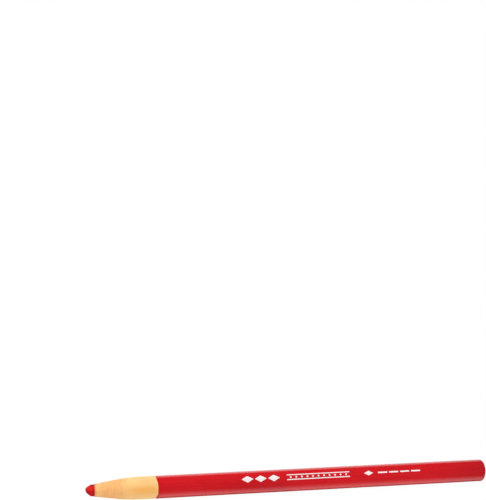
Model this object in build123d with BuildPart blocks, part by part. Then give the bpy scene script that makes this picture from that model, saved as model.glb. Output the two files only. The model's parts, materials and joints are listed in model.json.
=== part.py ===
# China marker: a wax core in a wound paper wrapper that peels away in short sections.
# Sizes are millimetres. The marker lies on its side: X runs along its axis, from the wax
# point at -X to the dipped rear end at +X, Z is up, and Z = 0 is what it rests on.

import os
from math import cos, radians, sin, tan

from build123d import *

# Barrel: wound paper under a coat of lacquer
LENGTH = 171.5
BARREL_D = 9.2
LACQUER_T = 0.05

# Wax core and the bare wax at its point
CORE_D = 4.7
CORE_FIT = 0.05
POINT_LENGTH = 3.4
POINT_HALF_ANGLE = 35.0
POINT_TIP_R = 1.65

# Bare paper nose, ground to a slim taper that runs out into the barrel
NOSE_LENGTH = 25.6
NOSE_EDGE_T = 0.1
NOSE_HALF_ANGLE = 8.3
NOSE_BLEND_R = 62.0

# Lacquered sections, each peeled off as the wax wears down
SECTION_COUNT = 12
SECTION_LENGTH = 10.0

# Pull string, laid along the core under the paper
STRING_D = 0.6
STRING_FIT = 0.05
STRING_ANGLE = 108.0
STRING_SHOWS = 0.5
STRING_END_BEVEL = 0.12

# Rear end: bevelled paper, sealed and rounded by a dip of lacquer
END_ROUND_R = 1.4
DIP_T = 0.12
TAIL_BEVEL = 1.0

# Radii that follow from the sizes above
BARREL_R = BARREL_D / 2
PAPER_R = BARREL_R - LACQUER_T
CORE_R = CORE_D / 2
BORE_R = CORE_R + CORE_FIT
STRING_R = STRING_D / 2
GROOVE_R = STRING_R + STRING_FIT

# Stations along X, from the point to the rear end
POINT_X = -LENGTH / 2
REAR_X = LENGTH / 2
NOSE_X = POINT_X + POINT_LENGTH
SECTIONS_X = NOSE_X + NOSE_LENGTH
TAIL_X = SECTIONS_X + SECTION_COUNT * SECTION_LENGTH
WRAP_END_X = REAR_X - DIP_T
END_ROUND_X = REAR_X - END_ROUND_R

# The marker's axis, a lengthwise half section through it, and the string's place across it
AXIS_Z = BARREL_R
MARKER_AXIS = Axis((0, 0, AXIS_Z), (1, 0, 0))
HALF_SECTION = Plane(origin=(0, 0, AXIS_Z), x_dir=(1, 0, 0), z_dir=(0, -1, 0))
STRING_TURN = radians(STRING_ANGLE)
STRING_PLACE = (CORE_R * cos(STRING_TURN), AXIS_Z + CORE_R * sin(STRING_TURN))


# The string's channel across the marker, cut along every piece that it passes
with BuildSketch(Plane.YZ.offset(POINT_X)) as string_groove:
    with Locations(STRING_PLACE):
        Circle(GROOVE_R)


def save(part, name):
    part.label = name
    export_step(part, f"parts/{name}.step")


os.makedirs("parts", exist_ok=True)

# Wax core: a full-length rod with a blunt, rounded point
point_angle = radians(POINT_HALF_ANGLE)
flank_start = (POINT_X + POINT_TIP_R * (1 - sin(point_angle)), POINT_TIP_R * cos(point_angle))
flank_end = (flank_start[0] + (CORE_R - flank_start[1]) / tan(point_angle), CORE_R)

with BuildPart() as wax_core:
    with BuildSketch(HALF_SECTION):
        with BuildLine():
            CenterArc((POINT_X + POINT_TIP_R, 0), POINT_TIP_R, 180, POINT_HALF_ANGLE - 90)
            Polyline(flank_start, flank_end, (WRAP_END_X, CORE_R), (WRAP_END_X, 0), (POINT_X, 0))
        make_face()
    revolve(axis=MARKER_AXIS)
    extrude(string_groove.sketch, amount=LENGTH, mode=Mode.SUBTRACT)
save(wax_core.part, "wax_core")

# Pull string: its front end stands out where the paper stops
with BuildPart() as pull_string:
    with BuildSketch(Plane.YZ.offset(NOSE_X - STRING_SHOWS)):
        with Locations(STRING_PLACE):
            Circle(STRING_R)
    extrude(amount=WRAP_END_X - NOSE_X + STRING_SHOWS)
    chamfer(pull_string.faces().sort_by(Axis.X)[0].edges(), STRING_END_BEVEL)
save(pull_string.part, "pull_string")

# Nose: bare paper, a straight taper blended into a plain length at full size
nose_edge_r = BORE_R + NOSE_EDGE_T
taper_run = (PAPER_R - nose_edge_r) / tan(radians(NOSE_HALF_ANGLE))

with BuildPart() as nose_wrap:
    with BuildSketch(HALF_SECTION):
        with BuildLine():
            FilletPolyline(
                (NOSE_X, nose_edge_r),
                (NOSE_X + taper_run, PAPER_R),
                (SECTIONS_X, PAPER_R),
                radius=NOSE_BLEND_R,
            )
            Polyline(
                (SECTIONS_X, PAPER_R),
                (SECTIONS_X, BORE_R),
                (NOSE_X, BORE_R),
                (NOSE_X, nose_edge_r),
            )
        make_face()
    revolve(axis=MARKER_AXIS)
    extrude(string_groove.sketch, amount=LENGTH, mode=Mode.SUBTRACT)
save(nose_wrap.part, "nose_wrap")

# Peel sections: short tubes of wound paper that butt end to end
for number in range(SECTION_COUNT):
    with BuildPart() as peel_wrap:
        with BuildSketch(Plane.YZ.offset(SECTIONS_X + number * SECTION_LENGTH)):
            with Locations((0, AXIS_Z)):
                Circle(BARREL_R)
                Circle(BORE_R, mode=Mode.SUBTRACT)
        extrude(amount=SECTION_LENGTH)
        extrude(string_groove.sketch, amount=LENGTH, mode=Mode.SUBTRACT)
    save(peel_wrap.part, f"peel_wrap_{number + 1:02d}")

# Tail: the last length of wrapper, which is held and never peeled
tail_seat = [
    (END_ROUND_X, BARREL_R),
    (END_ROUND_X, BARREL_R - DIP_T),
    (WRAP_END_X - TAIL_BEVEL, BARREL_R - DIP_T),
    (WRAP_END_X, BARREL_R - DIP_T - TAIL_BEVEL),
]

with BuildPart() as tail_wrap:
    with BuildSketch(HALF_SECTION):
        with BuildLine():
            Polyline((TAIL_X, BARREL_R), *tail_seat, (WRAP_END_X, BORE_R), (TAIL_X, BORE_R), close=True)
        make_face()
    revolve(axis=MARKER_AXIS)
    extrude(string_groove.sketch, amount=LENGTH, mode=Mode.SUBTRACT)
save(tail_wrap.part, "tail_wrap")

# End dip: a skin of lacquer on the tail's bevelled end and over the end of the wax
with BuildPart() as end_dip:
    with BuildSketch(HALF_SECTION):
        with BuildLine():
            Polyline(*tail_seat, (WRAP_END_X, 0), (REAR_X, 0), (REAR_X, BARREL_R - END_ROUND_R))
            CenterArc((END_ROUND_X, BARREL_R - END_ROUND_R), END_ROUND_R, 0, 90)
        make_face()
    revolve(axis=MARKER_AXIS)
save(end_dip.part, "end_dip")
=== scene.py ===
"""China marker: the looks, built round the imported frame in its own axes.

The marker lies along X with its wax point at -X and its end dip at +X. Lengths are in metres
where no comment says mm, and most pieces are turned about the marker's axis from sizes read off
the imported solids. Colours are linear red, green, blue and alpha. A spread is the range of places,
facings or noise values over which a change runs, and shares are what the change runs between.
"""

import json
from math import asin, atan2, ceil, cos, floor, pi, radians, sin, sqrt, tan

import bmesh
import bpy
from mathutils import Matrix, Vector, noise


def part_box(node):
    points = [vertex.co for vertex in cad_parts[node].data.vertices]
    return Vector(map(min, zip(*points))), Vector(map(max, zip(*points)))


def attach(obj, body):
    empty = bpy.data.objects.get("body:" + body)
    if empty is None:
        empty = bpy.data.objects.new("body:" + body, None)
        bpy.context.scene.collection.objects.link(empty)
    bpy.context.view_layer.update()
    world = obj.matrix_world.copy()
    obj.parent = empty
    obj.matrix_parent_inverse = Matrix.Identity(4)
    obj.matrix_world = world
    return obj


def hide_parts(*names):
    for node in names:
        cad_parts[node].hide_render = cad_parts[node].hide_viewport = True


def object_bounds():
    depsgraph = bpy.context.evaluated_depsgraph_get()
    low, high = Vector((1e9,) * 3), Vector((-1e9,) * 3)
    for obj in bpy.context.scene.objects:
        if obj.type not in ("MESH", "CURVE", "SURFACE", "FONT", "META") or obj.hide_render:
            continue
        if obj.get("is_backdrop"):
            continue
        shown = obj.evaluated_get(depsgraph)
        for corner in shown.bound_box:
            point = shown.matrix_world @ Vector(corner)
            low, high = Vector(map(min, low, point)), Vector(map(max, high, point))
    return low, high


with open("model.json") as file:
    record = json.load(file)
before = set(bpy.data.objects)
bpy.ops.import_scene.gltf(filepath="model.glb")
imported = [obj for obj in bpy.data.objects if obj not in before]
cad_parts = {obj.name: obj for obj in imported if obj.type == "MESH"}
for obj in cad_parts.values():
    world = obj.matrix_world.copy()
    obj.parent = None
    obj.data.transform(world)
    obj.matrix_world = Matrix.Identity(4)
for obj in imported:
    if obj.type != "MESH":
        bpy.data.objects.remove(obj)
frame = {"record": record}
cad_low, cad_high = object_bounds()

MM = 0.001

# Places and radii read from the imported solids
BODY_OF = {
    node: body
    for body, nodes in frame["record"]["behaviour"]["bodies"].items()
    for node in nodes
}
SECTIONS = sorted(node for node in BODY_OF if node.startswith("peel_wrap_"))

core_low, core_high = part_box("wax_core")
string_low, string_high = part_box("pull_string")
nose_low, nose_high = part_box("nose_wrap")
tail_low, tail_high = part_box("tail_wrap")
dip_low, dip_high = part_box("end_dip")

AXIS_Z = (tail_low.z + tail_high.z) / 2
BARREL_R = (tail_high.z - tail_low.z) / 2
PAPER_R = (nose_high.z - nose_low.z) / 2
CORE_R = (core_high.y - core_low.y) / 2
STRING_R = (string_high.y - string_low.y) / 2
STRING_Y = (string_low.y + string_high.y) / 2
STRING_Z = (string_low.z + string_high.z) / 2
STRING_TURN = atan2(STRING_Z - AXIS_Z, STRING_Y)
STRING_OFFSET = sqrt(STRING_Y**2 + (STRING_Z - AXIS_Z) ** 2)

# Fits and edges that the boxes of the solids don't show
CORE_FIT = 0.05 * MM
STRING_FIT = 0.05 * MM
NOSE_EDGE_T = 0.1 * MM
BORE_R = CORE_R + CORE_FIT
GROOVE_R = STRING_R + STRING_FIT
EDGE_BREAK = 0.02 * MM
SEAM_GAP = 0.003 * MM

# The ground taper of the nose, and the wax point ahead of it
NOSE_HALF_ANGLE = radians(8.3)
NOSE_BLEND_R = 62 * MM
POINT_HALF_ANGLE = radians(35)
POINT_TIP_R = 1.65 * MM

# The rounded, dipped rear end, and the dimple in it
END_ROUND_R = 1.4 * MM
DIP_T = 0.12 * MM
TAIL_BEVEL = 1.0 * MM
DIMPLE_R = 1.25 * CORE_R
DIMPLE_DEPTH = 0.18 * MM
DIMPLE_MOST = 0.7 * DIP_T

# How finely the pieces are divided
RING_STEPS = 144
GROOVE_STEPS = 10
STRING_STEPS = 30
ROUND_STEPS = 14
FOIL_ROWS = 6
WALL_PITCH = 1.0 * MM
END_PITCH = 0.55 * MM
DIP_PITCH = 0.3 * MM
FOIL_PITCH = 0.2 * MM
STRING_PITCH = 0.13 * MM
TAPER_PITCH = 0.09 * MM
POINT_PITCH = 0.08 * MM
SHARP_ANGLE = radians(35)
WELD = 0.001 * MM

# Wound paper: one layer, the step where a layer is cut, and the lap where the outer layer ends
LAYER_T = 0.16 * MM
LAYER_STEP = 0.014 * MM
LAP_TURN = radians(38)
LAP_EDGE = radians(0.25)
LAP_STEP = 0.035 * MM
LAP_RUN = radians(55)


# Mesh building

def ring_turns():
    """Turns of one ring: even steps, with more across the string's channel and at the lap."""
    half = asin(GROOVE_R / STRING_OFFSET)
    turns = [2 * pi * step / RING_STEPS for step in range(RING_STEPS)]
    turns = [turn for turn in turns if abs(turn - STRING_TURN) > half]
    for step in range(GROOVE_STEPS + 1):
        turns.append(STRING_TURN + half * (2 * step / GROOVE_STEPS - 1))
    turns += [LAP_TURN - LAP_EDGE, LAP_TURN + LAP_EDGE]
    return sorted(turns)


RING_TURNS = ring_turns()
STRING_TURNS = [2 * pi * step / STRING_STEPS for step in range(STRING_STEPS)]


def run(start, end, pitch, surface):
    """Profile points from start up to, but not including, end."""
    steps = max(1, ceil((Vector(end) - Vector(start)).length / pitch))
    points = [Vector(start).lerp(Vector(end), step / steps) for step in range(steps)]
    return [(point.x, point.y, surface) for point in points]


def band(ring, following):
    """Faces between two rings, either of which may be a single point on the axis."""
    count = max(len(ring), len(following))
    for step in range(count):
        after = (step + 1) % count
        if len(ring) == 1:
            yield ring[0], following[after], following[step]
        elif len(following) == 1:
            yield ring[step], ring[after], following[0]
        else:
            yield ring[step], ring[after], following[after], following[step]


def mesh_object(name, points, faces, surfaces, materials):
    """A smooth mesh object with its sharp edges marked."""
    mesh = bpy.data.meshes.new(name)
    mesh.from_pydata(points, [], faces)
    for material in materials:
        mesh.materials.append(material)
    mesh.polygons.foreach_set("material_index", surfaces)
    mesh.shade_smooth()
    mesh.set_sharp_from_angle(angle=SHARP_ANGLE)
    mesh.update()
    made = bpy.data.objects.new(name, mesh)
    bpy.context.scene.collection.objects.link(made)
    return made


def turned(name, profile, relief, materials, centre=(0, AXIS_Z), turns=RING_TURNS):
    """Turns a profile of (x, radius, surface) points into a closed mesh.

    relief(x, radius, turn) gives the radius that the mesh really takes. A profile that starts and
    ends on the axis makes a solid, and any other one closes on itself and makes a tube.
    """
    points = []
    rings = []
    for x, radius, _ in profile:
        if radius == 0:
            rings.append([len(points)])
            points.append((x, centre[0], centre[1]))
            continue
        rings.append(range(len(points), len(points) + len(turns)))
        for turn in turns:
            shaped = relief(x, radius, turn)
            points.append((x, centre[0] + shaped * cos(turn), centre[1] + shaped * sin(turn)))
    pairs = list(zip(rings, rings[1:]))
    if profile[0][1] > 0:
        pairs.append((rings[-1], rings[0]))
    faces = []
    surfaces = []
    for (ring, following), (_, _, surface) in zip(pairs, profile):
        made = list(band(ring, following))
        faces += made
        surfaces += [surface] * len(made)
    return mesh_object(name, points, faces, surfaces, materials)


def place(piece, node):
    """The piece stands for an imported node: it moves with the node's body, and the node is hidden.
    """
    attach(piece, BODY_OF[node])
    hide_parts(node)


def channel(turn):
    """Nearest and farthest radius of the string's channel at a turn, or None beside it."""
    across = STRING_OFFSET * sin(turn - STRING_TURN)
    if abs(turn - STRING_TURN) > pi / 2 or abs(across) >= GROOVE_R:
        return None
    middle = STRING_OFFSET * cos(turn - STRING_TURN)
    reach = sqrt(GROOVE_R**2 - across**2)
    return middle - reach, middle + reach


def lap_drop(turn):
    """How far the wall lies below full size behind the lap of the outer layer."""
    past = (turn - LAP_TURN) / LAP_RUN
    if 0 <= past < 1:
        return LAP_STEP * (1 - past)
    return 0


def on_bore(radius):
    """Whether a profile point lies on the bore, allowing for rounding."""
    return radius < BORE_R + WELD


def wrap_relief(x, radius, turn):
    """Paper tube: the lap on the outside, the string's channel in the bore."""
    cut = channel(turn)
    if on_bore(radius) and cut:
        return max(radius, cut[1])
    if radius >= PAPER_R - EDGE_BREAK:
        return radius - lap_drop(turn)
    return radius


# Shader building

NOISE_ROUGHNESS = 0.55
FADE_OUT = (1.0, 0.0)


def new_material(name):
    """A material, its node tree and its principled shader."""
    material = bpy.data.materials.new(name)
    material.use_nodes = True
    tree = material.node_tree
    return material, tree, tree.nodes["Principled BSDF"]


def wire(tree, node, inputs):
    """Sets a node's inputs, or links those that are another node's output."""
    for key, value in inputs.items():
        if isinstance(value, bpy.types.NodeSocket):
            tree.links.new(value, node.inputs[key])
        else:
            node.inputs[key].default_value = value


def add(tree, kind, inputs, **settings):
    """A new node with its settings, and its inputs set or linked."""
    made = tree.nodes.new(kind)
    for key, value in settings.items():
        setattr(made, key, value)
    wire(tree, made, inputs)
    return made


def calc(tree, operation, *values):
    """Output of a math node."""
    return add(tree, "ShaderNodeMath", dict(enumerate(values)), operation=operation).outputs[0]


def product(tree, first, *others):
    """Values multiplied together."""
    for other in others:
        first = calc(tree, "MULTIPLY", first, other)
    return first


def weighted(tree, first, first_share, second, second_share):
    """Two values added in the given shares."""
    return calc(
        tree, "ADD", product(tree, first, first_share), product(tree, second, second_share)
    )


def ramp(tree, value, low, high, to_low=0.0, to_high=1.0):
    """A value eased from one range into another."""
    inputs = {
        "Value": value,
        "From Min": low,
        "From Max": high,
        "To Min": to_low,
        "To Max": to_high,
    }
    return add(tree, "ShaderNodeMapRange", inputs, interpolation_type="SMOOTHSTEP").outputs[0]


def mix(tree, factor, first, second):
    """A colour between two colours."""
    made = add(tree, "ShaderNodeMix", {0: factor, 6: first, 7: second}, data_type="RGBA")
    return made.outputs[2]


def between(tree, factor, first, second):
    """A value between two values."""
    made = add(tree, "ShaderNodeMix", {0: factor, 2: first, 3: second}, data_type="FLOAT")
    return made.outputs[0]


def grain(tree, size, stretch=(1, 1, 1), detail=3.0, shift=(0, 0, 0)):
    """Noise in the marker's own axes, with features of about the given size."""
    where = tree.nodes.new("ShaderNodeTexCoord").outputs["Object"]
    inputs = {"Vector": where, "Location": shift, "Scale": stretch}
    scaled = add(tree, "ShaderNodeMapping", inputs).outputs[0]
    inputs = {
        "Vector": scaled,
        "Scale": 1 / size,
        "Detail": detail,
        "Roughness": NOISE_ROUGHNESS,
    }
    return add(tree, "ShaderNodeTexNoise", inputs).outputs["Fac"]


def bump(tree, height, depth):
    """Normal with relief of the given depth."""
    inputs = {"Height": height, "Strength": 1.0, "Distance": depth}
    return add(tree, "ShaderNodeBump", inputs).outputs[0]


def axis_coordinates(tree):
    """Outputs for x, and for the y and z offsets from the marker's axis."""
    where = tree.nodes.new("ShaderNodeTexCoord").outputs["Object"]
    parts = add(tree, "ShaderNodeSeparateXYZ", {0: where}).outputs
    return parts[0], parts[1], calc(tree, "SUBTRACT", parts[2], AXIS_Z)


# Red lacquer
LACQUER_DARK = (0.63, 0.0055, 0.0110, 1)
LACQUER_LIGHT = (0.69, 0.0065, 0.0135, 1)
# Painted shade: the darker red the lacquer fades to towards the rear end
LACQUER_REAR_SHADE = (0.53, 0.0055, 0.0110, 1)
LACQUER_CLOUD = {"size": 9 * MM, "stretch": (0.5, 1, 1)}
LACQUER_STREAK = {"size": 0.7 * MM, "stretch": (0.06, 1, 1)}
LACQUER_PEEL = {"size": 1.6 * MM, "stretch": (0.4, 1, 1), "detail": 1.0}
LACQUER_CLOUD_SHARE = 0.6
LACQUER_STREAK_SHARE = 0.4
LACQUER_TONE_SPREAD = (0.35, 0.65)
LACQUER_REAR_SHADE_SPREAD = (dip_low.x - 24 * MM, dip_high.x)
LACQUER_REAR_SHADE_SHARE = 0.9
LACQUER_ROUGH_SPREAD = (0.3, 0.75)
LACQUER_ROUGHNESS = (0.24, 0.36)
LACQUER_SPECULAR = 0.15
LACQUER_COAT = 1.0
LACQUER_COAT_ROUGHNESS = 0.06
LACQUER_PEEL_DEPTH = 0.004 * MM


def lacquer_material():
    """Red lacquer, rolled on over the paper: glossy, with faint streaks along the barrel."""
    material, tree, shader = new_material("red_lacquer")
    x, _, _ = axis_coordinates(tree)
    cloud = grain(tree, **LACQUER_CLOUD)
    streak = grain(tree, **LACQUER_STREAK)
    peel = grain(tree, **LACQUER_PEEL)
    tone = weighted(tree, cloud, LACQUER_CLOUD_SHARE, streak, LACQUER_STREAK_SHARE)
    colour = mix(tree, ramp(tree, tone, *LACQUER_TONE_SPREAD), LACQUER_DARK, LACQUER_LIGHT)
    # Painted shade: the red darkens towards the rear end
    painted_rear_shade = ramp(tree, x, *LACQUER_REAR_SHADE_SPREAD, 0.0, LACQUER_REAR_SHADE_SHARE)
    inputs = {
        "Base Color": mix(tree, painted_rear_shade, colour, LACQUER_REAR_SHADE),
        "Roughness": ramp(tree, streak, *LACQUER_ROUGH_SPREAD, *LACQUER_ROUGHNESS),
        "Specular IOR Level": LACQUER_SPECULAR,
        "Coat Weight": LACQUER_COAT,
        "Coat Roughness": LACQUER_COAT_ROUGHNESS,
        "Normal": bump(tree, peel, LACQUER_PEEL_DEPTH),
    }
    wire(tree, shader, inputs)
    return material


# Bare paper
PAPER_PALE = (0.98, 0.61, 0.245, 1)
PAPER_WARM = (0.96, 0.56, 0.200, 1)
PAPER_INNER = (0.94, 0.45, 0.145, 1)
# Painted shade: the deeper orange of one side of the full-size end
PAPER_SHADE_BAND = (0.99, 0.48, 0.105, 1)
PAPER_GLUE = (0.70, 0.32, 0.100, 1)
PAPER_STAIN = (0.60, 0.035, 0.02, 1)
PAPER_CLOUD = {"size": 6 * MM}
PAPER_FIBRE = {"size": 0.3 * MM, "detail": 5.0}
PAPER_RAGGED = {"size": 2.5 * MM}
PAPER_RAGGED_REACH = 6 * MM
PAPER_CLOUD_SPREAD = (0.35, 0.65)
PAPER_FIBRE_SPREAD = (0.55, 0.8)
PAPER_FIBRE_SHARES = (0.0, 0.16)
PAPER_ROUGH_SPREAD = (0.3, 0.8)
PAPER_ROUGHNESS = (0.48, 0.66)
PAPER_SPECULAR = 0.5
PAPER_BUMP_DEPTH = 0.012 * MM

# Where the paper is ground on the nose, or cut across
GROUND_START_SPREAD = (nose_low.x + 0.5 * MM, nose_low.x + 4 * MM)
GROUND_START_SHARES = (0.5, 1.0)
GROUND_END_SPREAD = (nose_low.x + 9 * MM, nose_low.x + 14 * MM)
GROUND_SHARE = 0.9
CUT_SLOPE_SPREAD = (0.3, 0.6)

# The cut layers: their wavering seams, and patches where one is darker with glue
LAYER_WAVER = {"size": 3 * MM}
LAYER_WAVER_SHARE = 0.5
LAYER_SEAM_SPREAD = (0.0, 0.2)
LAYER_SEAM_SHARE = 0.4
LAYER_SEAM_BUMP = 0.7
GLUE_TURN_SCALE = 1.1
GLUE_SCALE = 0.8
GLUE_DETAIL = 2.0
GLUE_SEAM_SPREAD = (0.36, 0.6)
GLUE_PATCH_SPREAD = (0.42, 0.72)
GLUE_PATCH_SHARE = 0.22

# Painted shade, deeper orange on one side of the full-size end: along it and by the way its wall
# faces
SHADE_BAND_START_SPREAD = (nose_low.x + 10.5 * MM, nose_low.x + 18 * MM)
SHADE_BAND_END_SPREAD = (nose_high.x - 2.5 * MM, nose_high.x)
SHADE_BAND_END_SHARES = (1.0, 0.4)
SHADE_BAND_SIDE_SPREAD = (-0.3, -0.7)
SHADE_BAND_LOW_SPREAD = (-0.75, 0.0)
SHADE_BAND_HIGH_SPREAD = (0.05, 0.5)
SHADE_BAND_SHARE = 0.95

# The wax smeared on the paper's front edge
SMEAR_REACH = -1.2 * MM
SMEAR_SPREAD = (nose_low.x - 0.9 * MM, nose_low.x + 0.5 * MM)
SMEAR_SHARES = (0.6, 0.0)

# The lacquer's edge, which laps onto the full-size end least at the sides and most underneath
COVER_COLOUR = (0.655, 0.006, 0.0125, 1)
COVER_TOP_SPREAD = (0.35, 1.0)
COVER_TOP_REACH = (0.12 * MM, 0.5 * MM)
COVER_UNDER_SPREAD = (-0.35, -1.0)
COVER_UNDER_REACH = (0.0, 0.7 * MM)
COVER_EDGE_SPREAD = (nose_high.x - 0.03 * MM, nose_high.x + 0.03 * MM)
COVER_DEPTH_SPREAD = (PAPER_R - 0.1 * MM, PAPER_R - 0.05 * MM)
COVER_SMOOTHING = -0.85


def paper_material():
    """Bare wound paper: tan, with its layers' cut edges showing wherever it is ground or cut."""
    material, tree, shader = new_material("wound_paper")
    x, across, up = axis_coordinates(tree)
    squared = calc(tree, "MULTIPLY_ADD", up, up, calc(tree, "POWER", across, 2.0))
    radius = calc(tree, "SQRT", squared)
    facing_y = calc(tree, "DIVIDE", across, radius)
    facing_z = calc(tree, "DIVIDE", up, radius)
    normal = tree.nodes.new("ShaderNodeNewGeometry").outputs["Normal"]
    slope = calc(tree, "ABSOLUTE", add(tree, "ShaderNodeSeparateXYZ", {0: normal}).outputs[0])
    cloud = grain(tree, **PAPER_CLOUD)
    fibre = grain(tree, **PAPER_FIBRE)
    ragged = grain(tree, **PAPER_RAGGED)
    ragged = calc(tree, "MULTIPLY_ADD", ragged, PAPER_RAGGED_REACH, -PAPER_RAGGED_REACH / 2)
    ragged = calc(tree, "ADD", x, ragged)
    taper = product(
        tree,
        ramp(tree, ragged, *GROUND_START_SPREAD, *GROUND_START_SHARES),
        ramp(tree, ragged, *GROUND_END_SPREAD, *FADE_OUT),
    )
    ground = calc(tree, "MAXIMUM", taper, ramp(tree, slope, *CUT_SLOPE_SPREAD))

    # Layers, counted outwards from the axis and wound on with each turn
    waver = product(tree, grain(tree, **LAYER_WAVER), LAYER_WAVER_SHARE)
    depth = calc(tree, "ADD", calc(tree, "DIVIDE", radius, LAYER_T), waver)
    wound = {0: depth}
    for axis, facing in ((1, facing_y), (2, facing_z)):
        wound[axis] = product(tree, facing, GLUE_TURN_SCALE)
    wound = add(tree, "ShaderNodeCombineXYZ", wound).outputs[0]
    inputs = {"Vector": wound, "Scale": GLUE_SCALE, "Detail": GLUE_DETAIL}
    glued = add(tree, "ShaderNodeTexNoise", inputs).outputs["Fac"]
    turn = calc(tree, "DIVIDE", calc(tree, "ARCTAN2", up, across), 2 * pi)
    seam = calc(tree, "PINGPONG", calc(tree, "ADD", depth, turn), 0.5)
    seam = ramp(tree, seam, *LAYER_SEAM_SPREAD, *FADE_OUT)
    seam = product(tree, seam, ramp(tree, glued, *GLUE_SEAM_SPREAD), ground)

    # Painted shade: one side of the full-size end, where the wall takes no sheen, painted deeper
    # orange
    painted_shade_band = product(
        tree,
        ramp(tree, ragged, *SHADE_BAND_START_SPREAD),
        ramp(tree, x, *SHADE_BAND_END_SPREAD, *SHADE_BAND_END_SHARES),
        ramp(tree, facing_y, *SHADE_BAND_SIDE_SPREAD),
        ramp(tree, facing_z, *SHADE_BAND_LOW_SPREAD),
        ramp(tree, facing_z, *SHADE_BAND_HIGH_SPREAD, *FADE_OUT),
    )
    smeared = calc(tree, "ADD", x, product(tree, fibre, SMEAR_REACH))
    covered = calc(tree, "ADD", x, ramp(tree, facing_z, *COVER_TOP_SPREAD, *COVER_TOP_REACH))
    under = ramp(tree, facing_z, *COVER_UNDER_SPREAD, *COVER_UNDER_REACH)
    covered = product(
        tree,
        ramp(tree, calc(tree, "ADD", covered, under), *COVER_EDGE_SPREAD),
        ramp(tree, radius, *COVER_DEPTH_SPREAD),
    )

    colour = mix(tree, ramp(tree, cloud, *PAPER_CLOUD_SPREAD), PAPER_PALE, PAPER_WARM)
    patches = product(tree, ramp(tree, glued, *GLUE_PATCH_SPREAD), ground, GLUE_PATCH_SHARE)
    for share, shade in (
        (product(tree, ground, GROUND_SHARE), PAPER_INNER),
        (product(tree, painted_shade_band, SHADE_BAND_SHARE), PAPER_SHADE_BAND),
        (ramp(tree, fibre, *PAPER_FIBRE_SPREAD, *PAPER_FIBRE_SHARES), PAPER_GLUE),
        (patches, PAPER_GLUE),
        (product(tree, seam, LAYER_SEAM_SHARE), PAPER_GLUE),
        (ramp(tree, smeared, *SMEAR_SPREAD, *SMEAR_SHARES), PAPER_STAIN),
        (covered, COVER_COLOUR),
    ):
        colour = mix(tree, share, colour, shade)
    rough = ramp(tree, fibre, *PAPER_ROUGH_SPREAD, *PAPER_ROUGHNESS)
    smooth = calc(tree, "MULTIPLY_ADD", covered, COVER_SMOOTHING, 1.0)
    relief = calc(tree, "SUBTRACT", fibre, product(tree, seam, LAYER_SEAM_BUMP))
    inputs = {
        "Base Color": colour,
        "Roughness": product(tree, rough, smooth),
        "Specular IOR Level": PAPER_SPECULAR,
        "Normal": bump(tree, relief, PAPER_BUMP_DEPTH),
    }
    wire(tree, shader, inputs)
    return material


# Red wax, its clouds shifted to paint shade: the point is darker underneath and at the paper
WAX_DARK = (0.38, 0.005, 0.010, 1)
WAX_LIGHT = (0.60, 0.011, 0.006, 1)
# Painted shade: the shift that puts the dark clouds under the point and at the paper
WAX_SHADE_SHIFT = (-0.5 * MM, 4.4 * MM, -0.4 * MM)
WAX_CLOUD = {"size": 2.2 * MM, "detail": 2.0, "shift": WAX_SHADE_SHIFT}
WAX_SCRAPE = {"size": 0.16 * MM, "stretch": (0.25, 1, 1), "detail": 4.0}
WAX_CLOUD_SHARE = 0.75
WAX_SCRAPE_SHARE = 0.25
WAX_TONE_SPREAD = (0.36, 0.56)
WAX_CLOUD_REACH_SPREAD = (nose_low.x, nose_low.x + 3 * MM)
WAX_CLOUD_REACH_SHARES = (1.0, 0.2)
WAX_TIP_SHADE_SPREAD = (core_low.x + 0.1 * MM, core_low.x + 0.7 * MM)
WAX_TIP_SHADE_SHARES = (0.75, 0.0)
WAX_ROUGH_SPREAD = (0.3, 0.75)
WAX_ROUGHNESS = (0.38, 0.55)
WAX_SPECULAR = 0.08
WAX_BUMP_SHARES = (1.0, 0.5)
WAX_BUMP_DEPTH = 0.03 * MM


def wax_material():
    """Red marking wax: dense colour, a dull sheen, faint scrapes and painted shade at its tip."""
    material, tree, shader = new_material("red_wax")
    x, _, _ = axis_coordinates(tree)
    cloud = grain(tree, **WAX_CLOUD)
    scrape = grain(tree, **WAX_SCRAPE)
    tone = weighted(tree, cloud, WAX_CLOUD_SHARE, scrape, WAX_SCRAPE_SHARE)
    cloud_reach = ramp(tree, x, *WAX_CLOUD_REACH_SPREAD, *WAX_CLOUD_REACH_SHARES)
    # Random tone, with painted shade where the shifted dark clouds fall
    tone_and_painted_shade = product(tree, ramp(tree, tone, *WAX_TONE_SPREAD, *FADE_OUT), cloud_reach)
    # Painted shade: the tip darkened
    painted_tip_shade = ramp(tree, x, *WAX_TIP_SHADE_SPREAD, *WAX_TIP_SHADE_SHARES)
    tone_and_painted_shade = calc(tree, "MAXIMUM", tone_and_painted_shade, painted_tip_shade)
    cloud_bump, scrape_bump = WAX_BUMP_SHARES
    relief = weighted(tree, cloud, cloud_bump, scrape, scrape_bump)
    inputs = {
        "Base Color": mix(tree, tone_and_painted_shade, WAX_LIGHT, WAX_DARK),
        "Roughness": ramp(tree, scrape, *WAX_ROUGH_SPREAD, *WAX_ROUGHNESS),
        "Specular IOR Level": WAX_SPECULAR,
        "Normal": bump(tree, relief, WAX_BUMP_DEPTH),
    }
    wire(tree, shader, inputs)
    return material


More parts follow.
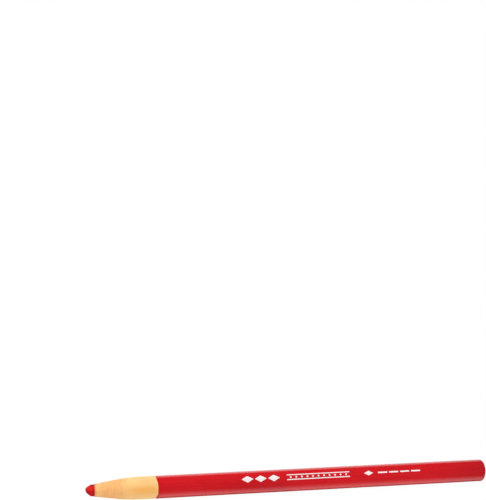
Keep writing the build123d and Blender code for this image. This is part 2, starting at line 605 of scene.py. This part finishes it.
# Cotton string
COTTON_CREAM = (0.74, 0.66, 0.52, 1)
COTTON_SHADE = (0.50, 0.40, 0.28, 1)
COTTON_OILED = (0.78, 0.46, 0.20, 1)
COTTON_STAIN = (0.36, 0.035, 0.015, 1)
COTTON_FUZZ = {"size": 0.09 * MM, "stretch": (0.4, 1, 1), "detail": 4.0}
COTTON_SHADE_SPREAD = (0.35, 0.7)
COTTON_SOAK_REACH = -0.8 * MM
COTTON_OIL_SPREAD = (string_low.x + 2 * MM, string_low.x + 6 * MM)
COTTON_OIL_SHARES = (0.85, 0.0)
COTTON_STAIN_SPREAD = (string_low.x - 0.2 * MM, string_low.x + 1.0 * MM)
COTTON_ROUGH_SPREAD = (0.3, 0.8)
COTTON_ROUGHNESS = (0.7, 0.95)
COTTON_SHEEN = 0.3
COTTON_BUMP_DEPTH = 0.03 * MM


def string_material():
    """Cotton thread: off-white, oiled and stained red by the wax towards the point."""
    material, tree, shader = new_material("cotton_string")
    x, _, _ = axis_coordinates(tree)
    fuzz = grain(tree, **COTTON_FUZZ)
    soaked = calc(tree, "ADD", x, product(tree, fuzz, COTTON_SOAK_REACH))
    colour = mix(tree, ramp(tree, fuzz, *COTTON_SHADE_SPREAD), COTTON_CREAM, COTTON_SHADE)
    oil = ramp(tree, soaked, *COTTON_OIL_SPREAD, *COTTON_OIL_SHARES)
    colour = mix(tree, oil, colour, COTTON_OILED)
    stain = ramp(tree, soaked, *COTTON_STAIN_SPREAD, *FADE_OUT)
    inputs = {
        "Base Color": mix(tree, stain, colour, COTTON_STAIN),
        "Roughness": ramp(tree, fuzz, *COTTON_ROUGH_SPREAD, *COTTON_ROUGHNESS),
        "Sheen Weight": COTTON_SHEEN,
        "Normal": bump(tree, fuzz, COTTON_BUMP_DEPTH),
    }
    wire(tree, shader, inputs)
    return material


# White foil
FOIL_WHITE = (0.95, 0.87, 0.875, 1)
FOIL_WORN = (0.84, 0.50, 0.50, 1)
FOIL_THIN = {"size": 0.3 * MM, "detail": 4.0}
FOIL_WORN_SPREAD = (0.56, 0.8)
FOIL_ROUGH_SPREAD = (0.3, 0.8)
FOIL_ROUGHNESS = (0.35, 0.6)
FOIL_BUMP_DEPTH = 0.006 * MM


def foil_material():
    """White stamping foil: matt, a little thin where the stamp pressed lightly."""
    material, tree, shader = new_material("white_foil")
    thin = grain(tree, **FOIL_THIN)
    inputs = {
        "Base Color": mix(tree, ramp(tree, thin, *FOIL_WORN_SPREAD), FOIL_WHITE, FOIL_WORN),
        "Roughness": ramp(tree, thin, *FOIL_ROUGH_SPREAD, *FOIL_ROUGHNESS),
        "Normal": bump(tree, thin, FOIL_BUMP_DEPTH),
    }
    wire(tree, shader, inputs)
    return material


LACQUER = lacquer_material()
PAPER = paper_material()
WAX = wax_material()
COTTON = string_material()
FOIL = foil_material()

# Wax core: a full-length rod, its point flattened here and there as by a blade
FLAT_FACING = 0.2
POINT_WAVER = 0.03 * MM
POINT_WAVER_SIZE = 0.9 * MM
POINT_LIFT = 0.32 * MM
POINT_LIFT_RUN = 1.6 * MM

# Each flat is its turn and lean in degrees, and its distance from the point's middle in mm
POINT_FLATS = [
    (-172, 33, 0.62),
    (-126, 37, 0.65),
    (-78, 34, 0.69),
    (-30, 36, 0.60),
    (18, 33, 0.60),
    (64, 37, 0.62),
    (112, 35, 0.70),
    (154, 32, 0.62),
]


def core_relief(x, radius, turn):
    """Rod: the string's channel along it, and flats and a slight waver over its point."""
    ahead = x - core_low.x
    shaped = radius
    for degrees, lean, distance in POINT_FLATS:
        facing = cos(turn - radians(degrees))
        if facing > FLAT_FACING:
            reach = distance * MM + ahead * sin(radians(lean))
            shaped = min(shaped, reach / (cos(radians(lean)) * facing))
    bare = min(1, max(0, (nose_low.x - x) / (nose_low.x - core_low.x)))
    spot = Vector((x, radius * cos(turn), radius * sin(turn))) / POINT_WAVER_SIZE
    shaped -= POINT_WAVER * bare * (0.5 + 0.5 * noise.noise(spot))
    cut = channel(turn)
    if cut:
        shaped = min(shaped, cut[0])
    return min(shaped, CORE_R)


def core_profile():
    """Rounded tip, straight flank, rod and flat rear end."""
    tip_arc = pi / 2 - POINT_HALF_ANGLE
    steps = ceil(POINT_TIP_R * tip_arc / POINT_PITCH)
    points = [(core_low.x, 0, 0)]
    for step in range(1, steps + 1):
        arc = tip_arc * step / steps
        points.append((core_low.x + POINT_TIP_R * (1 - cos(arc)), POINT_TIP_R * sin(arc), 0))
    flank_x, flank_r, _ = points.pop()
    shoulder_x = flank_x + (CORE_R - flank_r) / tan(POINT_HALF_ANGLE)
    points += run((flank_x, flank_r), (shoulder_x, CORE_R), POINT_PITCH, 0)
    points += run((shoulder_x, CORE_R), (nose_low.x, CORE_R), POINT_PITCH, 0)
    points += run((nose_low.x, CORE_R), (core_high.x, CORE_R), WALL_PITCH, 0)
    return points + [(core_high.x, CORE_R, 0), (core_high.x, 0, 0)]


core = turned("wax_core_rod", core_profile(), core_relief, [WAX])
for vertex in core.data.vertices:
    vertex.co.z += POINT_LIFT * max(0, 1 - (vertex.co.x - core_low.x) / POINT_LIFT_RUN)
place(core, "wax_core")

# Pull string: three plies twisted together, with a frayed front end
PLY_COUNT = 3
PLY_OFFSET = 0.46 * STRING_R
PLY_R = STRING_R - PLY_OFFSET
TWIST_PITCH = 1.7 * MM
FRAY_RUN = 0.35 * MM
FRAY_SIZE = 0.12 * MM
FRAY_STRETCH = 0.4
FRAY_SHARE = 0.12
STRING_END_R = 0.7 * STRING_R
STRING_END_RUN = 0.1 * MM


def string_relief(x, radius, turn):
    """Outline of the twisted plies, drawn in at the frayed end."""
    share = 2 * pi / PLY_COUNT
    twisted = turn + 2 * pi * x / TWIST_PITCH
    aside = twisted - share * floor(twisted / share + 0.5)
    reach = PLY_OFFSET * cos(aside) + sqrt(PLY_R**2 - (PLY_OFFSET * sin(aside)) ** 2)
    fray = min(1, (x - string_low.x) / FRAY_RUN)
    spot = Vector((x * FRAY_STRETCH, cos(turn) * STRING_R, sin(turn) * STRING_R)) / FRAY_SIZE
    ragged = 1 - FRAY_SHARE * (1 - fray) * (1 + noise.noise(spot))
    return reach * ragged * radius / STRING_R


string_profile = [(string_low.x, 0, 0), (string_low.x, STRING_END_R, 0)]
string_profile += run(
    (string_low.x + STRING_END_RUN, STRING_R), (string_high.x, STRING_R), STRING_PITCH, 0
)
string_profile += [(string_high.x, STRING_R, 0), (string_high.x, 0, 0)]
string = turned(
    "pull_string_twist",
    string_profile,
    string_relief,
    [COTTON],
    centre=(STRING_Y, STRING_Z),
    turns=STRING_TURNS,
)
place(string, "pull_string")

# Nose: bare paper ground to a slim taper, its layers cut through one after another
STEP_PATCH_SIZE = 4 * MM
STEP_PATCH_SHIFT = 0.9
STEP_CREST = 0.7
STEP_RUN_OUT = 3 * MM
EDGE_KEPT_T = 0.4 * NOSE_EDGE_T
CUT_PAST = 1 * MM

nose_edge_r = BORE_R + NOSE_EDGE_T
taper_run = (PAPER_R - nose_edge_r) / tan(NOSE_HALF_ANGLE)
blend_half = NOSE_BLEND_R * tan(NOSE_HALF_ANGLE / 2)
blend_end = nose_low.x + taper_run + blend_half
blend_start = nose_low.x + taper_run - blend_half * cos(NOSE_HALF_ANGLE)


def nose_radius(x):
    """Outside of the nose: a straight taper, then an arc that runs out at full size."""
    if x < blend_start:
        return nose_edge_r + (x - nose_low.x) * tan(NOSE_HALF_ANGLE)
    if x < blend_end:
        return PAPER_R - NOSE_BLEND_R + sqrt(NOSE_BLEND_R**2 - (blend_end - x) ** 2)
    return PAPER_R


def nose_relief(x, radius, turn):
    """Taper: each cut layer is a shallow step, worn round, that winds on with the paper."""
    if on_bore(radius):
        return radius
    shaped = wrap_relief(x, radius, turn)
    if x >= blend_end:
        return shaped
    spot = Vector((x, radius * cos(turn), radius * sin(turn))) / STEP_PATCH_SIZE
    patchy = noise.noise(spot)
    layer = radius / LAYER_T + turn / (2 * pi) + STEP_PATCH_SHIFT * patchy
    past = layer - floor(layer)
    step = min(past / STEP_CREST, (1 - past) / (1 - STEP_CREST))
    run_out = min(1, (blend_end - x) / STEP_RUN_OUT)
    sunk = LAYER_STEP * run_out * (1 - step) * (1 + patchy)
    return max(shaped - sunk, min(shaped, BORE_R + EDGE_KEPT_T))


def cut_channel(piece, x0, x1):
    """Cuts the string's channel into a piece, as a slot where thin paper can't cover it."""
    cutter = turned(
        "channel_cutter",
        [(x0, 0, 0), (x0, GROOVE_R, 0), (x1, GROOVE_R, 0), (x1, 0, 0)],
        lambda x, radius, turn: radius,
        [],
        centre=(STRING_Y, STRING_Z),
        turns=STRING_TURNS,
    )
    modifier = piece.modifiers.new("channel", "BOOLEAN")
    modifier.operation = "DIFFERENCE"
    modifier.solver = "EXACT"
    modifier.object = cutter
    depsgraph = bpy.context.evaluated_depsgraph_get()
    piece.data = bpy.data.meshes.new_from_object(piece.evaluated_get(depsgraph))
    piece.modifiers.clear()
    welded = bmesh.new()
    welded.from_mesh(piece.data)
    bmesh.ops.remove_doubles(welded, verts=welded.verts, dist=WELD)
    welded.to_mesh(piece.data)
    welded.free()
    piece.data.set_sharp_from_angle(angle=SHARP_ANGLE)
    bpy.data.objects.remove(cutter)


nose_profile = [(nose_low.x, BORE_R, 0)]
for x, _, _ in run((nose_low.x, 0), (blend_end, 0), TAPER_PITCH, 0):
    nose_profile.append((x, nose_radius(x), 0))
nose_profile += run((blend_end, PAPER_R), (nose_high.x, PAPER_R), WALL_PITCH, 0)
nose_profile += run((nose_high.x, PAPER_R), (nose_high.x, BORE_R), END_PITCH, 0)
nose_profile += run((nose_high.x, BORE_R), (nose_low.x, BORE_R), WALL_PITCH, 0)
nose = turned("nose_taper", nose_profile, nose_relief, [PAPER])
cut_channel(nose, nose_low.x - CUT_PAST, nose_high.x + CUT_PAST)
place(nose, "nose_wrap")

# Lacquered wrapper: short tubes that butt together, paper inside and on their cut ends
IN_LACQUER = 0
IN_PAPER = 1
WRAP_MATERIALS = [LACQUER, PAPER]


def cut_end(x, inwards):
    """Profile across a cut end, from the bore to the lacquered wall."""
    points = run((x, BORE_R), (x, PAPER_R), END_PITCH, IN_PAPER)
    points += [(x, PAPER_R, IN_LACQUER), (x, BARREL_R - EDGE_BREAK, IN_LACQUER)]
    return points + [(x + inwards * EDGE_BREAK, BARREL_R, IN_LACQUER)]


def back_across(points, last):
    """The same profile the other way round, with each band keeping its surface."""
    turned_back = points[::-1]
    surfaces = [surface for _, _, surface in turned_back[1:]] + [last]
    return [(x, radius, surface) for (x, radius, _), surface in zip(turned_back, surfaces)]


def lacquered_wall(x0, x1):
    """Profile of the outside between two ends, without its first point."""
    return run((x0 + EDGE_BREAK, BARREL_R), (x1, BARREL_R), WALL_PITCH, IN_LACQUER)[1:]


def lacquered_tube(x0, x1):
    """Closed profile of one section."""
    front = cut_end(x0, 1)
    wall = lacquered_wall(x0, x1 - EDGE_BREAK)
    rear = back_across(cut_end(x1, -1), IN_PAPER)
    bore = run((x1, BORE_R), (x0, BORE_R), WALL_PITCH, IN_PAPER)[1:]
    return front + wall + rear + bore


for node in SECTIONS:
    low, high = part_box(node)
    profile = lacquered_tube(low.x + SEAM_GAP, high.x - SEAM_GAP)
    section = turned(f"{node}_tube", profile, wrap_relief, WRAP_MATERIALS)
    place(section, node)

# Tail: the length that is never peeled, stepped and bevelled at the rear for the dip
seat_r = BARREL_R - DIP_T
bevel_r = seat_r - TAIL_BEVEL
tail_profile = cut_end(tail_low.x, 1) + lacquered_wall(tail_low.x, dip_low.x)
tail_profile += [
    (dip_low.x, BARREL_R, IN_PAPER),
    (dip_low.x, seat_r, IN_PAPER),
    (tail_high.x - TAIL_BEVEL, seat_r, IN_PAPER),
]
tail_profile += run((tail_high.x, bevel_r), (tail_high.x, BORE_R), END_PITCH, IN_PAPER)
tail_profile += run((tail_high.x, BORE_R), (tail_low.x, BORE_R), WALL_PITCH, IN_PAPER)
tail = turned("tail_wrap_tube", tail_profile, wrap_relief, WRAP_MATERIALS)
place(tail, "tail_wrap")


# End dip: the rounded skin of lacquer, sunk a little over the end of the wax

def dip_relief(x, radius, turn):
    """Dip: it follows the lap where it meets the barrel and hides it further back."""
    if radius < PAPER_R:
        return radius
    return radius - lap_drop(turn) * min(1, max(0, 1 - (x - dip_low.x) / END_ROUND_R))


def dimple(radius):
    """How far the flat of the dip is sunk at a radius."""
    sunk = DIMPLE_DEPTH * 0.5 * (1 + cos(pi * min(1, radius / DIMPLE_R)))
    return min(sunk, DIMPLE_MOST)


flat_r = BARREL_R - END_ROUND_R
dip_profile = [
    (tail_high.x, 0, 0),
    (tail_high.x, bevel_r, 0),
    (tail_high.x - TAIL_BEVEL, seat_r, 0),
    (dip_low.x, seat_r, 0),
]
for step in range(ROUND_STEPS):
    arc = pi / 2 * step / ROUND_STEPS
    round_x = dip_high.x - END_ROUND_R + END_ROUND_R * sin(arc)
    dip_profile.append((round_x, flat_r + END_ROUND_R * cos(arc), 0))
for x, radius, _ in run((dip_high.x, flat_r), (dip_high.x, 0), DIP_PITCH, 0):
    dip_profile.append((x - dimple(radius), radius, 0))
dip_profile.append((dip_high.x - dimple(0), 0, 0))
dip = turned("end_dip_skin", dip_profile, dip_relief, [LACQUER])
place(dip, "end_dip")

# Stamped foil: a plain row of lozenges, rules, dots and dashes, split at the sections
FOIL_T = 0.012 * MM
FOIL_SUNK = 0.006 * MM
FOIL_TURN = radians(180 - 27)
FOIL_SHORTEST = 0.05 * MM

# The row's places in mm back from the wax point, and its heights in mm round the barrel
FOIL_TIP = 0.02
LOZENGE_STARTS = (63.7, 69.3, 74.9)
LOZENGE_LENGTH = 5.0
LOZENGE_HALF = 1.4
RULE_ENDS = (83.0, 110.2)
RULE_LEVELS = (-1.0, 1.0)
RULE_HALF = 0.2
DOT_COUNT = 11
DOT_PITCH = 2.4
DOT_ENDS = (84.2, 85.0)
DOT_HALF = 0.4
SMALL_LOZENGE_ENDS = (116.5, 120.5)
SMALL_LOZENGE_HALF = 1.0
DASH_COUNT = 4
DASH_PITCH = 4.9
DASH_ENDS = (122.7, 126.7)
DASH_HALF = 0.3


def lozenge(share):
    """Half height of a lozenge, as a share of its greatest."""
    return 1 - abs(2 * share - 1)


def dot(share):
    """Half height of a disc."""
    return sqrt(max(0, 1 - (2 * share - 1) ** 2))


def bar(share):
    """Half height of a plain bar."""
    return 1


def repeated(count, pitch, ends, half, outline):
    """A row of the same shape along the barrel's middle line."""
    start, end = ends
    for number in range(count):
        yield start + pitch * number, end + pitch * number, 0, half, outline


def foil_shapes():
    """Shapes as start, end, middle, half height and outline."""
    for start in LOZENGE_STARTS:
        yield start, start + LOZENGE_LENGTH, 0, LOZENGE_HALF, lozenge
    for level in RULE_LEVELS:
        yield *RULE_ENDS, level, RULE_HALF, bar
    yield from repeated(DOT_COUNT, DOT_PITCH, DOT_ENDS, DOT_HALF, dot)
    yield *SMALL_LOZENGE_ENDS, 0, SMALL_LOZENGE_HALF, lozenge
    yield from repeated(DASH_COUNT, DASH_PITCH, DASH_ENDS, DASH_HALF, bar)


def foil_patch(points, faces, shape, x0, x1):
    """Adds the part of a shape between two stations, as a thin closed skin."""
    start, end, middle, half, outline = shape
    columns = max(2, ceil((x1 - x0) / FOIL_PITCH))
    base = len(points)
    for column in range(columns + 1):
        x = x0 + (x1 - x0) * column / columns
        share = ((x - core_low.x) / MM - start) / (end - start)
        reach = max(FOIL_TIP, half * outline(min(1, max(0, share))))
        for radius in (BARREL_R + FOIL_T, BARREL_R - FOIL_SUNK):
            for row in range(FOIL_ROWS + 1):
                level = (middle + reach * (2 * row / FOIL_ROWS - 1)) * MM
                turn = FOIL_TURN - level / BARREL_R
                points.append((x, radius * cos(turn), AXIS_Z + radius * sin(turn)))
    loop = list(range(FOIL_ROWS + 1)) + list(range(2 * FOIL_ROWS + 1, FOIL_ROWS, -1))
    stride = len(loop)
    for column in range(columns):
        here = base + column * stride
        for near, far in zip(loop, loop[1:] + loop[:1]):
            faces.append((here + near, here + stride + near, here + stride + far, here + far))
    faces.append([base + index for index in loop])
    faces.append([base + columns * stride + index for index in reversed(loop)])


for node in SECTIONS:
    low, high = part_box(node)
    points = []
    faces = []
    for shape in foil_shapes():
        x0 = max(low.x, core_low.x + shape[0] * MM)
        x1 = min(high.x, core_low.x + shape[1] * MM)
        if x1 - x0 > FOIL_SHORTEST:
            foil_patch(points, faces, shape, x0, x1)
    if faces:
        foil = mesh_object(f"foil_on_{node}", points, faces, [0] * len(faces), [FOIL])
        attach(foil, BODY_OF[node])

# Stage: a plain white floor that keeps the marker's shadow
FLOOR_HALF = 30.0
FLOOR_GAP = 0.02 * MM
FLOOR_WHITE = (0.95, 0.95, 0.95, 1)
FLOOR_GLOW = 0.96
FULL_WHITE = (1, 1, 1, 1)
SHADOW_SPREAD = (0.15, 0.6)
TABLE_SPREAD = (3 * MM, 14 * MM)
TABLE_FALL = 5.0
SHADED_SPREAD = (1.5 * MM, 3.4 * MM)
SHADED_RED = (0.30, 0.015, 0.015, 1)
ROOM_GLOSS = 0.02


def floor_material():
    """White paper, mostly glowing to the camera, so that only a soft shadow shows.

    In gloss it is dark and reddish where the marker shades it and fades further off, as a small
    white table does in a dark room.
    """
    material = bpy.data.materials.new("floor_white")
    material.use_nodes = True
    tree = material.node_tree
    tree.nodes.clear()
    path = tree.nodes.new("ShaderNodeLightPath").outputs
    where = tree.nodes.new("ShaderNodeTexCoord").outputs["Object"]
    away = add(tree, "ShaderNodeVectorMath", {0: where}, operation="LENGTH").outputs["Value"]
    aside = calc(tree, "ABSOLUTE", add(tree, "ShaderNodeSeparateXYZ", {0: where}).outputs[1])
    table = calc(tree, "POWER", ramp(tree, aside, *TABLE_SPREAD, *FADE_OUT), TABLE_FALL)
    table = calc(tree, "MAXIMUM", table, ROOM_GLOSS)
    tint = mix(tree, ramp(tree, aside, *SHADED_SPREAD), SHADED_RED, FULL_WHITE)
    lit = add(tree, "ShaderNodeBsdfDiffuse", {"Color": FLOOR_WHITE})
    glow = add(tree, "ShaderNodeEmission", {"Strength": 1.0})
    gloss = add(tree, "ShaderNodeEmission", {"Color": tint, "Strength": table})
    straight = calc(tree, "MAXIMUM", path["Is Camera Ray"], path["Is Transmission Ray"])
    share = product(tree, straight, ramp(tree, away, *SHADOW_SPREAD, FLOOR_GLOW, 1.0))
    share = calc(tree, "MAXIMUM", share, path["Is Diffuse Ray"])
    seen = add(tree, "ShaderNodeMixShader", {0: share, 1: lit.outputs[0], 2: glow.outputs[0]})
    inputs = {0: path["Is Glossy Ray"], 1: seen.outputs[0], 2: gloss.outputs[0]}
    both = add(tree, "ShaderNodeMixShader", inputs)
    add(tree, "ShaderNodeOutputMaterial", {"Surface": both.outputs[0]})
    return material


floor_points = [
    (-FLOOR_HALF, -FLOOR_HALF, 0),
    (FLOOR_HALF, -FLOOR_HALF, 0),
    (FLOOR_HALF, FLOOR_HALF, 0),
    (-FLOOR_HALF, FLOOR_HALF, 0),
]
stage_floor = mesh_object("stage_floor", floor_points, [(0, 1, 2, 3)], [0], [floor_material()])
stage_floor.location.z = cad_low.z - FLOOR_GAP
stage_floor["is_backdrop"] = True

# World: white to look at, dark to gloss on the camera's side, and even light for the rest
WORLD_LIGHT = 0.80
BACKDROP_SPREAD = (0.40, 0.62)

world = bpy.data.worlds.new("studio")
bpy.context.scene.world = world
world.use_nodes = True
tree = world.node_tree
tree.nodes.clear()
path = tree.nodes.new("ShaderNodeLightPath").outputs
looking = tree.nodes.new("ShaderNodeTexCoord").outputs["Generated"]
towards = add(tree, "ShaderNodeSeparateXYZ", {0: looking}).outputs
backdrop = ramp(tree, towards[1], *BACKDROP_SPREAD, ROOM_GLOSS, 1.0)
level = between(tree, path["Is Glossy Ray"], WORLD_LIGHT, backdrop)
straight = calc(tree, "MAXIMUM", path["Is Camera Ray"], path["Is Transmission Ray"])
level = between(tree, straight, level, 1.0)
background = add(tree, "ShaderNodeBackground", {"Color": FULL_WHITE, "Strength": level})
add(tree, "ShaderNodeOutputWorld", {"Surface": background.outputs[0]})

# Lamp: one large soft disc beyond the point, so that no hard streak runs along the barrel
LAMP_PLACE = (-0.50, -0.16, 0.45)
LAMP_SIZE = 0.6
LAMP_WATTS = 2.6

light = bpy.data.lights.new("lamp_point_side", "AREA")
light.shape = "DISK"
light.size = LAMP_SIZE
light.energy = LAMP_WATTS
lamp = bpy.data.objects.new("lamp_point_side", light)
bpy.context.scene.collection.objects.link(lamp)
lamp.location = LAMP_PLACE
lamp.rotation_euler = (-Vector(LAMP_PLACE)).to_track_quat("-Z", "Y").to_euler()

# Camera: low and from the point's side, as the marker was photographed
CAMERA_PLACE = (-0.1814, -0.6097, 0.1281)
CAMERA_HEADING = radians(14.802)
CAMERA_DIP = radians(2.517)
CAMERA_ROLL = radians(0.057)
CAMERA_LENS = 111.18
CAMERA_NEAR = 0.01

camera_data = bpy.data.cameras.new("camera")
camera_data.lens = CAMERA_LENS
camera_data.clip_start = CAMERA_NEAR
camera = bpy.data.objects.new("camera", camera_data)
bpy.context.scene.collection.objects.link(camera)
camera.location = CAMERA_PLACE
camera.rotation_euler = (pi / 2 - CAMERA_DIP, CAMERA_ROLL, -CAMERA_HEADING)
bpy.context.scene.camera = camera
bpy.context.scene.view_settings.view_transform = "Standard"

# The finished marker's box; the solids' box is found before the marker is built
low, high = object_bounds()
